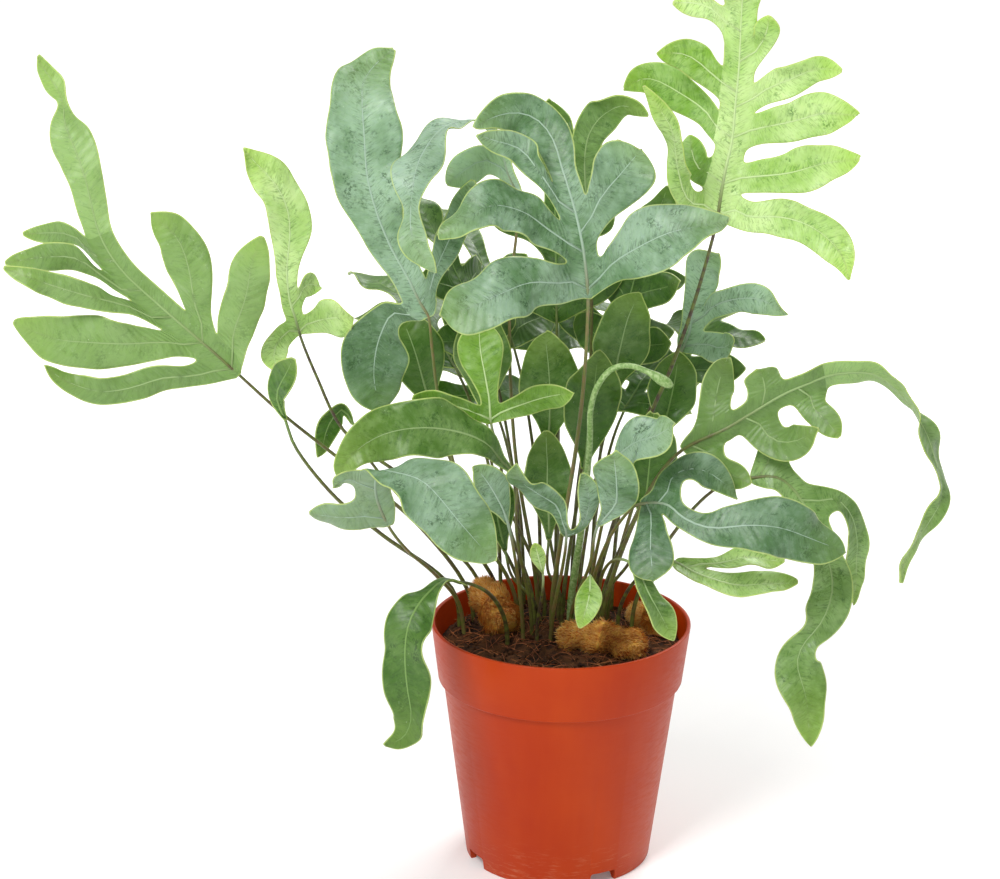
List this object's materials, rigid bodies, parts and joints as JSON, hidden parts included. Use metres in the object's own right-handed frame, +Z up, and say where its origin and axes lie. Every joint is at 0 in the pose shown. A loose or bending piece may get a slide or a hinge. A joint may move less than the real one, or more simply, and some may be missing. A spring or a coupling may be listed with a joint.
{
  "type": "potted blue star fern",
  "caption": "Bushy fern with lobed, wavy blue-green fronds on thin stems, growing from furry creeping rhizomes in a filled round plastic nursery pot.",
  "frame": {"origin": "centre of the pot's underside, on the surface it stands on", "axes": "+Z up along the pot's axis, -Y towards the front of the plant, +X to its right"},
  "size_m": [0.4233, 0.2833, 0.4247],
  "materials": {
    "pot": "satin terracotta-coloured injection-moulded plastic",
    "soil": "moist peat and bark potting mix with reddish fibres",
    "rhizome": "golden-brown papery scales, pale growing tips",
    "leaf_blue": "waxy glaucous blue-green leaf, satin",
    "leaf_green": "mid-green leaf, satin, paler underside",
    "leaf_lime": "young yellow-green leaf, satin",
    "leaf_dark": "older green leaf, satin"
  },
  "bodies": {
    "root": {"pot": "pot", "potting_soil": "soil", "rhizome_left": "rhizome", "rhizome_right": "rhizome", "rhizome_back": "rhizome", "frond_behind_centre": "leaf_green", "frond_blue_right": "leaf_blue", "frond_centre": "leaf_blue", "frond_curled_strap": "leaf_blue", "frond_far_left": "leaf_green", "frond_front_left": "leaf_blue", "frond_front_right": "leaf_blue", "frond_hanging_right": "leaf_green", "frond_left_bright": "leaf_lime", "frond_low_right": "leaf_lime", "frond_right": "leaf_green", "frond_tall_left": "leaf_blue", "frond_three_lobed": "leaf_lime", "frond_upper_right": "leaf_lime", "frond_back_1": "leaf_dark", "frond_back_2": "leaf_dark", "frond_back_3": "leaf_dark", "frond_back_4": "leaf_dark", "frond_back_5": "leaf_dark", "frond_back_6": "leaf_dark", "frond_back_7": "leaf_dark", "frond_back_8": "leaf_dark", "frond_back_9": "leaf_dark", "frond_back_10": "leaf_dark", "leaf_arch_left": "leaf_green", "leaf_bud": "leaf_lime", "leaf_curled_centre": "leaf_blue", "leaf_folded_pale": "leaf_blue", "leaf_inner_centre": "leaf_green", "leaf_inner_far_left": "leaf_green", "leaf_inner_left": "leaf_green", "leaf_inner_low_centre": "leaf_green", "leaf_inner_low_left": "leaf_dark", "leaf_inner_low_right": "leaf_dark", "leaf_inner_middle": "leaf_green", "leaf_inner_right": "leaf_dark", "leaf_inner_tall": "leaf_dark", "leaf_left_behind": "leaf_dark", "leaf_left_folded": "leaf_dark", "leaf_over_front_rim": "leaf_green", "leaf_over_left_rim": "leaf_dark", "leaf_small_left": "leaf_blue", "leaf_spoon": "leaf_lime", "leaf_upright_small": "leaf_blue", "crozier": "leaf_green"}
  },
  "joints": []
}
